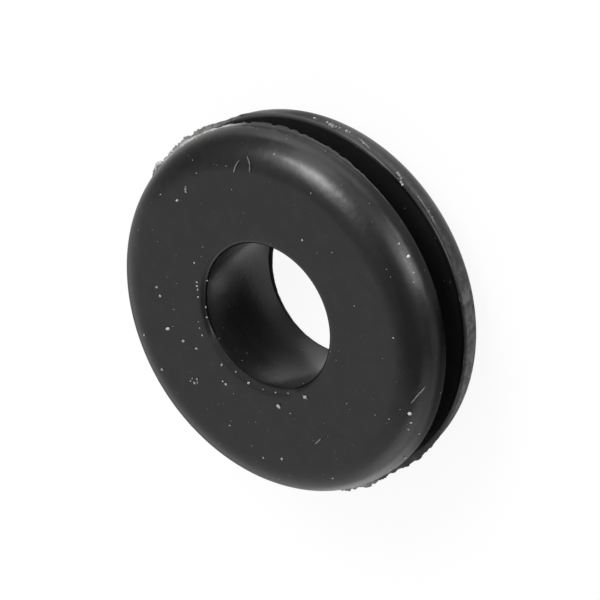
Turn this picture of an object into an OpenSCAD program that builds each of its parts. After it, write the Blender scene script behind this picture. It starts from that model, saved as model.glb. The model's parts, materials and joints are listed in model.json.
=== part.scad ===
// Open rubber grommet: two round-shouldered flanges, a panel groove between
// them and a through bore for a cable. Moulded in one piece, so the whole
// part is one section turned about the bore's axis.
// Millimetres. +Z runs along the bore, and Z = 0 is the back flange's face.

/* [Flanges] */
// Diameter over the flanges
flange_d = 15; // [13:0.5:20]
// Thickness of each flange, from its face to the panel groove
flange_t = 1.65; // [1.2:0.05:3]
// Radius of the round shoulder from a flange's face to its rim
shoulder_r = 1.4; // [0.4:0.1:1.6]
// Radius of the rim's edge at the panel groove
rim_edge_r = 0.1; // [0.05:0.05:0.3]

/* [Panel groove] */
// Diameter of the groove's floor, which fills the hole in the panel
groove_d = 10; // [8:0.5:12]
// Width of the groove, which takes the panel's edge
groove_w = 1.2; // [0.8:0.1:3]
// Radius in the two corners of the groove's floor
groove_root_r = 0.2; // [0.05:0.05:0.35]

/* [Bore] */
// Diameter of the cable bore
bore_d = 6; // [3:0.25:7]
// Radius of the bore's two mouths
mouth_r = 0.2; // [0.05:0.05:0.5]

/* [Hidden] */

flange_r = flange_d / 2;
groove_r = groove_d / 2;
bore_r = bore_d / 2;
total_t = 2 * flange_t + groove_w;
groove_z = flange_t;

// Flat band that is always left on the rim between its two radii
rim_land_min = 0.05;
// A shoulder can't be deeper than its flange leaves room for
shoulder_fit_r = min(shoulder_r, flange_t - rim_edge_r - rim_land_min);

// How far a cut runs past the surface that it opens
cut_past = 1;
rubber_black = [0.09, 0.09, 0.09];
$fn = 180;

// The sharp tip of a square corner, outside a radius r that rounds it.
// The corner is at the origin with its material towards -X and -Z (-Y here).
module corner_tip(r) {
    translate([-r, -r])
        difference() {
            square(r + cut_past);
            circle(r = r);
        }
}

// The tip of the corner at [x, z], whose material lies on the side that
// inward names: [-1, -1] is towards the axis and down, [1, 1] out and up
module corner_tip_at(x, z, r, inward) {
    translate([x, z])
        mirror([inward[0] > 0 ? 1 : 0, 0])
            mirror([0, inward[1] > 0 ? 1 : 0])
                corner_tip(r);
}

// What the panel groove takes out, with the radii of its floor left standing
module groove_section() {
    difference() {
        translate([groove_r, groove_z])
            square([flange_r - groove_r + cut_past, groove_w]);
        corner_tip_at(groove_r, groove_z, groove_root_r, [1, 1]);
        corner_tip_at(groove_r, groove_z + groove_w, groove_root_r, [1, -1]);
    }
}

// Half of the moulding's section, from the bore's wall to the rims
module grommet_section() {
    difference() {
        translate([bore_r, 0])
            square([flange_r - bore_r, total_t]);
        groove_section();
        // Round shoulders of the back and front flanges
        corner_tip_at(flange_r, 0, shoulder_fit_r, [-1, 1]);
        corner_tip_at(flange_r, total_t, shoulder_fit_r, [-1, -1]);
        // Rim edges at the groove
        corner_tip_at(flange_r, groove_z, rim_edge_r, [-1, -1]);
        corner_tip_at(flange_r, groove_z + groove_w, rim_edge_r, [-1, 1]);
        // Mouths of the bore
        corner_tip_at(bore_r, 0, mouth_r, [1, 1]);
        corner_tip_at(bore_r, total_t, mouth_r, [1, -1]);
    }
}

module grommet() {
    color(rubber_black)
        rotate_extrude()
            grommet_section();
}

grommet();
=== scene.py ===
"""Looks of one moulded rubber grommet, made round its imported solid."""

import json
import logging
import math
from dataclasses import dataclass
from enum import Enum
from typing import Any, Iterable, Sequence, Union

import bmesh
import bpy
from mathutils import Matrix, Vector
from mathutils.bvhtree import BVHTree

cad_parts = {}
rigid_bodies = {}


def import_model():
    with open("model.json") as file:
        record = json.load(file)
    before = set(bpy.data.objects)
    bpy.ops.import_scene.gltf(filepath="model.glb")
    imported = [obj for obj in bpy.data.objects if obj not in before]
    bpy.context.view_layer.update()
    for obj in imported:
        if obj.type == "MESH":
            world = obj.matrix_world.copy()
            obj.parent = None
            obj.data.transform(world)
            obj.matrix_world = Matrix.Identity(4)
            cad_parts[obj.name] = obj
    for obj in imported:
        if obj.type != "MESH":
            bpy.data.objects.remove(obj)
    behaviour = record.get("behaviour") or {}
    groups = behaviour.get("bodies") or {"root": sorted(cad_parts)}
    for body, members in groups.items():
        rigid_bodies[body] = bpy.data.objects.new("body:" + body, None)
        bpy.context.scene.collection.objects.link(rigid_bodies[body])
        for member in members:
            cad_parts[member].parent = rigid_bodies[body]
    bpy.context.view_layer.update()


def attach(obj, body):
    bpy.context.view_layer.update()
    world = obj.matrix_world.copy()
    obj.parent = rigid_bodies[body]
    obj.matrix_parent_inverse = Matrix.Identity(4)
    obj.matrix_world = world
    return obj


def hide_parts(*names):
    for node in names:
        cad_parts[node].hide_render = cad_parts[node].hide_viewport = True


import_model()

log = logging.getLogger("grommet")

MM = 0.001
"""Metres in a millimetre: sizes below are in millimetres unless they say otherwise."""

NODE = "grommet"
BODY = "root"

Socket = bpy.types.NodeSocket
Node = bpy.types.Node
Object = bpy.types.Object
Mesh = bpy.types.Mesh
Material = bpy.types.Material

Feed = Union[Socket, float, Sequence[float], Material, None]
"""What an input takes: another socket, a plain value, or None to be left alone."""

Colour = tuple[float, float, float, float]
"""Red, green, blue and cover, each from 0 to 1."""

Span = tuple[float, float]
"""A pair of numbers: as a rule, where a smooth change starts and where it ends."""


class InputKind(Enum):
    """What a tree's named input takes."""

    GEOMETRY = "NodeSocketGeometry"
    FLOAT = "NodeSocketFloat"
    INT = "NodeSocketInt"
    VECTOR = "NodeSocketVector"
    MATERIAL = "NodeSocketMaterial"


class MixKind(Enum):
    """What a mix blends: its data type, the first of its two inputs for that type, and its output."""

    NUMBER = ("FLOAT", 2, 0)
    VECTOR = ("VECTOR", 4, 1)
    COLOUR = ("RGBA", 6, 2)


class Growth(Enum):
    """Which way a fin grows from its edge: along the radius, or against it."""

    OUTWARD = 1
    INWARD = -1


class TreeKit:
    """A node tree and short ways to add and wire its nodes."""

    def __init__(self, tree: bpy.types.NodeTree) -> None:
        """Keeps the tree that nodes are added to."""
        self.tree = tree

    def add(self, kind: str, *feeds: Feed, **values: Any) -> Node:
        """Adds a node, sets its properties and feeds its first inputs.

        Args:
            kind: the node's type name.
            feeds: what goes into its first inputs, in order.
            values: properties of the node, by name.

        Returns:
            The new node.
        """
        node = self.tree.nodes.new(kind)
        for name, value in values.items():
            setattr(node, name, value)
        for socket, feed in zip(node.inputs, feeds):
            self.feed(socket, feed)
        return node

    def feed(self, socket: Socket, feed: Feed) -> None:
        """Wires an output into an input, or sets the input's value.

        Args:
            socket: the input.
            feed: what goes into it.
        """
        if isinstance(feed, Socket):
            self.tree.links.new(feed, socket)
        elif feed is not None:
            socket.default_value = feed

    def fill(self, node: Node, feeds: dict[str, Feed]) -> Node:
        """Feeds a node's inputs by name.

        Args:
            node: the node.
            feeds: what goes into each named input.

        Returns:
            The same node.
        """
        for name, feed in feeds.items():
            self.feed(node.inputs[name], feed)
        return node

    def shade(self, surface: Socket, output: str = "ShaderNodeOutputMaterial") -> None:
        """Joins a shader to the output that ends a material's or a world's tree."""
        self.tree.links.new(surface, self.add(output).inputs["Surface"])

    def math(self, operation: str, *feeds: Feed) -> Socket:
        """Adds a Math node and returns its result."""
        return self.add("ShaderNodeMath", *feeds, operation=operation).outputs[0]

    def product(self, first: Feed, *others: Feed) -> Feed:
        """Multiplies numbers, one after another.

        Args:
            first: the first number.
            others: what it is multiplied by, in turn.

        Returns:
            The product.
        """
        for other in others:
            first = self.math("MULTIPLY", first, other)
        return first

    def vector(self, operation: str, *feeds: Feed) -> Socket:
        """Adds a Vector Math node and returns its vector."""
        return self.add("ShaderNodeVectorMath", *feeds, operation=operation).outputs[0]

    def measure(self, operation: str, *feeds: Feed) -> Socket:
        """Adds a Vector Math node and returns its number, such as a length."""
        return self.add("ShaderNodeVectorMath", *feeds, operation=operation).outputs["Value"]

    def scaled(self, vector: Feed, factor: Feed) -> Socket:
        """Returns a vector times a number."""
        node = self.add("ShaderNodeVectorMath", vector, operation="SCALE")
        return self.fill(node, {"Scale": factor}).outputs[0]

    def position(self) -> Socket:
        """Returns the place that a geometry tree is working on, in metres."""
        return self.add("GeometryNodeInputPosition").outputs[0]

    def polar(self, place: Socket) -> tuple[Socket, Socket, Socket]:
        """Splits a place by the upright axis.

        Args:
            place: the place.

        Returns:
            Its distance from the axis, its height and its flat direction, of length 1.
        """
        parts = self.add("ShaderNodeSeparateXYZ", place).outputs
        flat = self.add("ShaderNodeCombineXYZ", parts[0], parts[1], 0.0).outputs[0]
        return self.measure("LENGTH", flat), parts[2], self.vector("NORMALIZE", flat)

    def blend(self, share: Feed, first: Feed, second: Feed, kind: MixKind = MixKind.NUMBER) -> Socket:
        """Mixes two numbers, vectors or colours.

        Args:
            share: how much of the second there is, from 0 to 1.
            first: what a share of 0 gives.
            second: what a share of 1 gives.
            kind: what the two are.

        Returns:
            The mix.
        """
        data_type, slot, output = kind.value
        node = self.add("ShaderNodeMix", share, data_type=data_type)
        self.feed(node.inputs[slot], first)
        self.feed(node.inputs[slot + 1], second)
        return node.outputs[output]

    def tint(self, share: Feed, first: Feed, second: Feed) -> Socket:
        """Mixes two colours, with the second by its share."""
        return self.blend(share, first, second, MixKind.COLOUR)

    def ease(self, value: Socket, start: float, end: float, low: Feed = 0.0, high: Feed = 1.0) -> Socket:
        """Turns a value's range into another with a smooth start and end.

        Args:
            value: what is read.
            start: the value that gives low.
            end: the value that gives high.
            low: the result at start and before it.
            high: the result at end and past it.

        Returns:
            The eased value.
        """
        node = self.add("ShaderNodeMapRange", value, interpolation_type="SMOOTHSTEP")
        ends = {"From Min": start, "From Max": end, "To Min": low, "To Max": high}
        return self.fill(node, ends).outputs[0]

    def noise(self, vector: Socket, scale: Feed, detail: float = 2.0, rough: float = 0.5) -> Socket:
        """Adds a 3D noise.

        Args:
            vector: where it is read.
            scale: how many spots it has to a unit.
            detail: how many finer layers it has.
            rough: how strong they are.

        Returns:
            Its value, about 0.5 on average.
        """
        node = self.add("ShaderNodeTexNoise", noise_dimensions="3D")
        feeds = {"Vector": vector, "Scale": scale, "Detail": detail, "Roughness": rough}
        return self.fill(node, feeds).outputs[0]

    def random_vector(self, low: Feed, high: Feed, seed: int) -> Socket:
        """Draws a vector for each point between two limits, and returns it."""
        node = self.add("FunctionNodeRandomValue", low, high, data_type="FLOAT_VECTOR")
        return self.fill(node, {"Seed": seed}).outputs[0]

    def centred(self, noise: Socket) -> Socket:
        """Moves a noise so that it is about 0 on average."""
        return self.math("SUBTRACT", noise, 0.5)

    def lobe(self, aim: Socket, middle: Vector, within: Span, full: float = 1.0) -> Socket:
        """Fades a value with the angle from a direction.

        Args:
            aim: the direction that is asked about.
            middle: the direction where the value is full.
            within: up to how many degrees it stays full, and from how many it is 0.
            full: the full value.

        Returns:
            The value.
        """
        end, start = (math.cos(math.radians(angle)) for angle in within)
        return self.ease(self.measure("DOT_PRODUCT", aim, middle), start, end, 0.0, full)


class GeometryRecipe:
    """A Geometry Nodes tree with named inputs, and the way to run it into a plain mesh."""

    def __init__(self, name: str, inputs: dict[str, InputKind]) -> None:
        """Starts a tree with its inputs and one geometry output.

        Args:
            name: the tree's name.
            inputs: each input's name and kind, the geometry first.
        """
        self.tree = bpy.data.node_groups.new(name, "GeometryNodeTree")
        self.kit = TreeKit(self.tree)
        self.ids: dict[str, str] = {}
        for title, kind in inputs.items():
            made = self.tree.interface.new_socket(name=title, in_out="INPUT", socket_type=kind.value)
            self.ids[title] = made.identifier
        self.tree.interface.new_socket(name="Geometry", in_out="OUTPUT", socket_type=InputKind.GEOMETRY.value)
        self.start = self.tree.nodes.new("NodeGroupInput")
        self.end = self.tree.nodes.new("NodeGroupOutput")

    def given(self, title: str) -> Socket:
        """Returns the input's socket inside the tree."""
        return self.start.outputs[title]

    def turned(self, section: Socket, path_radius: Socket, steps: Socket) -> Socket:
        """Sweeps a section round an upright circle.

        Args:
            section: a mesh of edges whose origin lies on the circle.
            path_radius: the circle's radius, in metres.
            steps: how many times the section stands round it.

        Returns:
            The ring's mesh.
        """
        kit = self.kit
        profile = kit.add("GeometryNodeMeshToCurve", section).outputs[0]
        circle = kit.add("GeometryNodeCurvePrimitiveCircle")
        kit.fill(circle, {"Resolution": steps, "Radius": path_radius})
        upright = kit.add("GeometryNodeSetCurveNormal", circle.outputs[0], mode="Z_UP").outputs[0]
        ring = kit.add("GeometryNodeCurveToMesh", upright, profile).outputs[0]
        return kit.add("GeometryNodeFlipFaces", ring).outputs[0]

    def close(self, shape: Socket, smooth: bool = True) -> None:
        """Ends the tree in Realize Instances, smooth shading and Set Material.

        Args:
            shape: the finished geometry.
            smooth: whether faces are shaded smooth.
        """
        kit = self.kit
        whole = kit.add("GeometryNodeRealizeInstances", shape).outputs[0]
        shaded = kit.fill(kit.add("GeometryNodeSetShadeSmooth", whole), {"Shade Smooth": smooth}).outputs[0]
        dressed = kit.fill(kit.add("GeometryNodeSetMaterial", shaded), {"Material": self.given("Material")})
        kit.feed(self.end.inputs[0], dressed.outputs[0])

    def run(self, name: str, base: Mesh, **values: Any) -> Object:
        """Runs the tree on a mesh and keeps the result as a plain mesh at the origin.

        Args:
            name: the new object's name.
            base: the mesh that the tree starts from.
            values: the other inputs' values, with _ for a space in a name.

        Returns:
            The finished object.
        """
        piece = linked(name, base)
        modifier = piece.modifiers.new(self.tree.name, "NODES")
        modifier.node_group = self.tree
        for title, value in values.items():
            modifier[self.ids[title.replace("_", " ")]] = value
        graph = bpy.context.evaluated_depsgraph_get()
        made = bpy.data.meshes.new_from_object(piece.evaluated_get(graph), depsgraph=graph)
        made.name = name
        made.materials.clear()
        made.materials.append(values["Material"])
        piece.modifiers.remove(modifier)
        piece.data = made
        return piece


def towards(azimuth: float, elevation: float) -> Vector:
    """Returns the direction at an azimuth from +X and an elevation, in degrees."""
    turn, lift = math.radians(azimuth), math.radians(elevation)
    return Vector((math.cos(turn) * math.cos(lift), math.sin(turn) * math.cos(lift), math.sin(lift)))


def linked(name: str, data: bpy.types.ID) -> Object:
    """Makes an object and puts it in the scene.

    Args:
        name: the object's name.
        data: its mesh or its camera.

    Returns:
        The object.
    """
    made = bpy.data.objects.new(name, data)
    bpy.context.scene.collection.objects.link(made)
    return made


def polyline(name: str, points: Sequence[Vector], closed: bool) -> Mesh:
    """Makes a mesh of edges through points.

    Args:
        name: the mesh's name.
        points: the points, in metres.
        closed: whether the last point joins the first.

    Returns:
        The mesh.
    """
    count = len(points)
    pairs = [(i, (i + 1) % count) for i in range(count if closed else count - 1)]
    mesh = bpy.data.meshes.new(name)
    mesh.from_pydata(points, pairs, [])
    return mesh


def turning_profile(name: str, outline: Sequence[tuple[float, float]], path_r: float) -> Mesh:
    """Makes a closed section that a turned sweep stands upright on its circle.

    Args:
        name: the mesh's name.
        outline: radius and height of each point, in millimetres, anticlockwise.
        path_r: the circle's radius, in millimetres.

    Returns:
        The mesh.
    """
    return polyline(name, [Vector(((r - path_r) * MM, -z * MM, 0.0)) for r, z in outline], closed=True)


def joined(name: str, pieces: Sequence[Object]) -> Object:
    """Merges objects at the origin into the first of them.

    Args:
        name: the merged object's name.
        pieces: the objects.

    Returns:
        The merged object.
    """
    whole = bmesh.new()
    for piece in pieces:
        whole.from_mesh(piece.data)
    mesh = bpy.data.meshes.new(name)
    whole.to_mesh(mesh)
    whole.free()
    mesh.materials.append(pieces[0].data.materials[0])
    first, *rest = pieces
    first.data, first.name = mesh, name
    for piece in rest:
        bpy.data.objects.remove(piece)
    return first


# ---------------------------------------------------------------- the section


@dataclass(frozen=True)
class Corner:
    """One rounded corner of the section, and how many points the straight run after it holds."""

    r: float
    z: float
    radius: float
    start: float
    end: float
    steps: int
    fill: int

    def points(self) -> list[tuple[float, float]]:
        """Divides the arc into its steps.

        Returns:
            Radius and height of each point, in millimetres.
        """
        span, count = self.end - self.start, self.steps
        turns = [math.radians(self.start + span * i / count) for i in range(count + 1)]
        return [(self.r + self.radius * math.cos(a), self.z + self.radius * math.sin(a)) for a in turns]


@dataclass(frozen=True)
class GrommetSection:
    """Half of the moulding's cross-section, in millimetres."""

    flange_d: float = 15.0
    flange_t: float = 1.65
    shoulder_r: float = 1.4
    rim_edge_r: float = 0.1
    groove_d: float = 10.0
    groove_w: float = 1.2
    groove_root_r: float = 0.2
    bore_d: float = 6.0
    mouth_r: float = 0.24
    lip_r: float = 3.48
    lip_bend: float = 3.0
    lip_slope: float = 2.0

    @property
    def groove_top(self) -> float:
        """The groove's upper wall."""
        return self.flange_t + self.groove_w

    @property
    def total_t(self) -> float:
        """Thickness over both flanges."""
        return 2 * self.flange_t + self.groove_w

    @property
    def rim_r(self) -> float:
        """The flanges' radius."""
        return self.flange_d / 2

    @property
    def bore_r(self) -> float:
        """The bore's radius."""
        return self.bore_d / 2

    def corners(self) -> list[Corner]:
        """Lists the corners from the lower shoulder, outwards, up and back down the bore.

        Returns:
            The nine corners.
        """
        rim, bore, groove = self.rim_r, self.bore_r, self.groove_d / 2
        low, high, top = self.flange_t, self.groove_top, self.total_t
        shoulder, edge, root, mouth = self.shoulder_r, self.rim_edge_r, self.groove_root_r, self.mouth_r
        worn = self.lip_bend * (1 - math.cos(math.radians(self.lip_slope)))
        return [
            Corner(rim - shoulder, shoulder, shoulder, -90, 0, 20, fill=1),
            Corner(rim - edge, low - edge, edge, 0, 90, 5, fill=5),
            Corner(groove + root, low + root, root, 270, 180, 4, fill=2),
            Corner(groove + root, high - root, root, 180, 90, 4, fill=5),
            Corner(rim - edge, high + edge, edge, -90, 0, 5, fill=1),
            Corner(rim - shoulder, top - shoulder, shoulder, 0, 90, 20, fill=9),
            Corner(self.lip_r, top - self.lip_bend, self.lip_bend, 90, 90 + self.lip_slope, 6, fill=0),
            Corner(bore + mouth, top - worn - mouth, mouth, 90 + self.lip_slope, 180, 8, fill=8),
            Corner(bore + mouth, mouth, mouth, 180, 270, 8, fill=9),
        ]

    def outline(self) -> list[tuple[float, float]]:
        """Lists the closed outline, corner by corner.

        Returns:
            Radius and height of each point, in millimetres, anticlockwise.
        """
        corners = self.corners()
        points: list[tuple[float, float]] = []
        for corner, following in zip(corners, corners[1:] + corners[:1]):
            points += corner.points()
            (r0, z0), (r1, z1) = corner.points()[-1], following.points()[0]
            for step in range(1, corner.fill + 1):
                share = step / (corner.fill + 1)
                points.append((r0 + (r1 - r0) * share, z0 + (z1 - z0) * share))
        return points


SECTION = GrommetSection()


# ---------------------------------------------------------------- finishes


def cleared(owner: Material | bpy.types.World) -> TreeKit:
    """Empties a node tree.

    Args:
        owner: the material or the world that has the tree.

    Returns:
        The tree's kit.
    """
    owner.use_nodes = True
    kit = TreeKit(owner.node_tree)
    kit.tree.nodes.clear()
    return kit


def new_material(name: str) -> tuple[Material, TreeKit, Node]:
    """Starts a material with one Principled shader.

    Args:
        name: the material's name.

    Returns:
        The material, its kit and the shader.
    """
    material = bpy.data.materials.new(name)
    kit = cleared(material)
    shader = kit.add("ShaderNodeBsdfPrincipled")
    kit.shade(shader.outputs[0])
    return material, kit, shader


def millimetres(kit: TreeKit) -> Socket:
    """Returns object coordinates in millimetres."""
    place = kit.add("ShaderNodeTexCoord").outputs["Object"]
    return kit.vector("MULTIPLY", place, (1 / MM,) * 3)


@dataclass(frozen=True)
class Patches:
    """Noise that is eased into patches: how fine it is, the span of it that counts, and what that gives."""

    per_mm: float
    detail: float
    rough: float
    span: Span
    low: float = 0.0
    high: float = 1.0

    def at(self, kit: TreeKit, place: Socket) -> Socket:
        """Returns the patches' value at a place in millimetres."""
        noise = kit.noise(place, self.per_mm, self.detail, self.rough)
        return kit.ease(noise, *self.span, self.low, self.high)


@dataclass(frozen=True)
class Side:
    """One side of the ring, round an azimuth from +X, in degrees."""

    azimuth: float
    full_within: float
    gone_past: float

    def share(self, kit: TreeKit, aim: Socket) -> Socket:
        """Returns how far a flat direction points to this side, from 0 to 1."""
        return kit.lobe(aim, towards(self.azimuth, 0.0), (self.full_within, self.gone_past))


@dataclass
class Zones:
    """Parts of the ring's surface, each as a share from 0 to 1.

    The spans say where a share changes, in millimetres from the bore, the rim, a face or a groove wall.
    """

    kit: TreeKit
    place: Socket
    wall_fades: Span = (0.03, 0.12)
    mouth_fades: Span = (0.12, 0.28)
    mouth_depth: Span = (-0.28, -0.10)
    deep_depth: Span = (-0.25, -0.90)
    under_rim: Span = (-0.05, -0.25)
    groove_foot: Span = (-0.03, 0.03)
    groove_roof: Span = (-0.03, -0.10)
    edge_out: Span = (-0.20, -0.08)
    edge_down: Span = (0.40, 0.15)
    back_out: Span = (-0.60, -0.10)
    back_down: Span = (-0.01, -0.22)
    low_heights: Span = (1.40, 1.15)

    def __post_init__(self) -> None:
        """Measures the place, which is in millimetres."""
        self.radius, self.height, self.aim = self.kit.polar(self.place)
        self.half = SECTION.total_t / 2
        below = self.kit.math("SUBTRACT", self.height, self.half)
        self.off_middle = self.kit.math("ABSOLUTE", below)

    def rises(self, value: Socket, base: float, span: Span) -> Socket:
        """Returns a share that grows over a span measured from a base."""
        return self.kit.ease(value, base + span[0], base + span[1])

    def fades(self, span: Span) -> Socket:
        """Returns a share that falls off over a span outside the bore."""
        return self.kit.ease(self.radius, SECTION.bore_r + span[0], SECTION.bore_r + span[1], 1.0, 0.0)

    def bore(self) -> Socket:
        """Returns the share of the bore's wall."""
        return self.fades(self.wall_fades)

    def deep_bore(self) -> Socket:
        """Returns the share of the bore's wall far from both mouths."""
        return self.kit.product(self.bore(), self.rises(self.off_middle, self.half, self.deep_depth))

    def mouth(self) -> Socket:
        """Returns the share of the bore's two rounded mouths."""
        return self.kit.product(self.fades(self.mouth_fades),
                                self.rises(self.off_middle, self.half, self.mouth_depth))

    def groove(self) -> Socket:
        """Builds the share of the groove's root and walls.

        Returns:
            The share.
        """
        walls = self.kit.product(self.rises(self.height, SECTION.flange_t, self.groove_foot),
                                 self.rises(self.height, SECTION.groove_top, self.groove_roof))
        return self.kit.product(self.rises(self.radius, SECTION.rim_r, self.under_rim), walls)

    def front_edge(self) -> Socket:
        """Returns the share of the front flange's edge at the groove."""
        return self.kit.product(self.rises(self.radius, SECTION.rim_r, self.edge_out),
                                self.rises(self.height, SECTION.groove_top, self.edge_down))

    def back_rim(self) -> Socket:
        """Returns the share of the back flange's rim."""
        return self.kit.product(self.rises(self.radius, SECTION.rim_r, self.back_out),
                                self.rises(self.height, SECTION.flange_t, self.back_down))

    def low_rim(self) -> Socket:
        """Returns the share of what lies low on the back flange's rim."""
        return self.kit.ease(self.height, *self.low_heights)


@dataclass(frozen=True)
class RubberFinish:
    """Black moulded rubber: satin, faintly mottled, duller at the bore's mouths, lighter in the bore and
    groove as painted fill light, with painted light on the front flange's groove edge, and dust with painted
    sheen and shade on the back flange's rim.
    """

    name: str = "black_rubber"
    black: Colour = (0.0022, 0.0023, 0.0024, 1.0)
    bloom: Colour = (0.0050, 0.0052, 0.0051, 1.0)
    # Painted fill light: the deep bore and the groove, which lie in shade, get lighter blacks than the rest
    # of the rubber.
    bore_fill_light: Colour = (0.013, 0.013, 0.013, 1.0)
    groove_fill_light: Colour = (0.017, 0.017, 0.017, 1.0)
    # Dust on the back flange's rim, lightened as a painted sheen; lower down it is darker as painted shade.
    dust_and_sheen: Colour = (0.072, 0.073, 0.071, 1.0)
    low_dust_and_shade: Colour = (0.035, 0.035, 0.034, 1.0)
    # Painted light: the front flange's edge at the groove is lighter round one side.
    edge_painted_light: Colour = (0.045, 0.045, 0.044, 1.0)
    # A painted reflection makes the back rim lighter on one side, and painted shade makes it darker on
    # another.
    painted_sheen: Colour = (0.21, 0.21, 0.208, 1.0)
    painted_shade: Colour = (0.012, 0.012, 0.012, 1.0)
    sheen_side: Side = Side(229.0, 12.0, 32.0)
    edge_light_side: Side = Side(322.0, 16.0, 36.0)
    shade_side: Side = Side(337.0, 8.0, 24.0)
    worn_side: Side = Side(124.0, 30.0, 52.0)
    blooms: Patches = Patches(1.3, 5.0, 0.6, (0.42, 0.72))
    clumps: Patches = Patches(2.6, 5.0, 0.7, (0.36, 0.66), 0.4, 1.0)
    grain_per_mm: float = 4.0
    grain_detail: float = 3.0
    grain_rough: float = 0.6
    grain_span: Span = (0.3, 0.7)
    grain_depth: float = 0.0040
    peel_per_mm: float = 1.6
    peel_depth: float = 0.010
    rough_low: float = 0.19
    rough_high: float = 0.26
    bore_rough: float = 0.23
    mouth_rough: float = 0.26
    worn_rough: float = 0.85
    refraction: float = 1.5

    def make(self) -> Material:
        """Builds the material.

        Returns:
            The material.
        """
        material, kit, shader = new_material(self.name)
        zones = Zones(kit, millimetres(kit))
        grain = kit.noise(zones.place, self.grain_per_mm, self.grain_detail, self.grain_rough)
        # Where the back rim's patches lie, its colour is dust with painted sheen and shade.
        dust_and_sheen_share = kit.product(zones.back_rim(), self.clumps.at(kit, zones.place))
        kit.fill(shader, {
            "Base Color": kit.tint(dust_and_sheen_share, self.rubber(kit, zones), self.dust(kit, zones)),
            "Roughness": self.roughness(kit, grain, zones),
            "Normal": self.bumps(kit, grain, zones.place),
            "IOR": self.refraction})
        return material

    def rubber(self, kit: TreeKit, zones: Zones) -> Socket:
        """Mixes the rubber's blacks, with painted fill light in the bore and the groove and painted light on
        the front flange's groove edge.

        Args:
            kit: the material's kit.
            zones: the parts of the surface.

        Returns:
            The colour.
        """
        colour = kit.tint(self.blooms.at(kit, zones.place), self.black, self.bloom)
        # Painted fill light deep in the bore and in the groove.
        colour = kit.tint(zones.deep_bore(), colour, self.bore_fill_light)
        colour = kit.tint(zones.groove(), colour, self.groove_fill_light)
        # Painted light on the front flange's groove edge, round one side.
        edge_light = kit.product(zones.front_edge(), self.edge_light_side.share(kit, zones.aim))
        return kit.tint(edge_light, colour, self.edge_painted_light)

    def dust(self, kit: TreeKit, zones: Zones) -> Socket:
        """Mixes the colour of the dust and painted sheen on the back flange's rim: darker low down as painted
        shade, lighter on one side as a painted reflection, darker on another as painted shade.

        Args:
            kit: the material's kit.
            zones: the parts of the surface.

        Returns:
            The colour.
        """
        # Darker low on the back rim as painted shade.
        dust_and_sheen = kit.tint(zones.low_rim(), self.dust_and_sheen, self.low_dust_and_shade)
        # Lighter on one side as a painted reflection, darker on another as painted shade.
        dust_and_sheen = kit.tint(self.sheen_side.share(kit, zones.aim), dust_and_sheen, self.painted_sheen)
        return kit.tint(self.shade_side.share(kit, zones.aim), dust_and_sheen, self.painted_shade)

    def roughness(self, kit: TreeKit, grain: Socket, zones: Zones) -> Socket:
        """Mixes the roughness.

        Args:
            kit: the material's kit.
            grain: the fine noise.
            zones: the parts of the surface.

        Returns:
            The roughness.
        """
        satin = kit.ease(grain, *self.grain_span, self.rough_low, self.rough_high)
        lip = kit.ease(self.worn_side.share(kit, zones.aim), 0.0, 1.0, self.mouth_rough, self.worn_rough)
        return kit.blend(zones.mouth(), kit.blend(zones.bore(), satin, self.bore_rough), lip)

    def bumps(self, kit: TreeKit, grain: Socket, place: Socket) -> Socket:
        """Lays the broad bumps of the skin over its fine grain.

        Args:
            kit: the material's kit.
            grain: the fine noise.
            place: the place, in millimetres.

        Returns:
            The bent normal.
        """
        fine = kit.fill(kit.add("ShaderNodeBump", 1.0, self.grain_depth * MM), {"Height": grain})
        broad = kit.add("ShaderNodeBump", 1.0, self.peel_depth * MM)
        peel = kit.noise(place, self.peel_per_mm)
        return kit.fill(broad, {"Height": peel, "Normal": fine.outputs[0]}).outputs[0]


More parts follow.
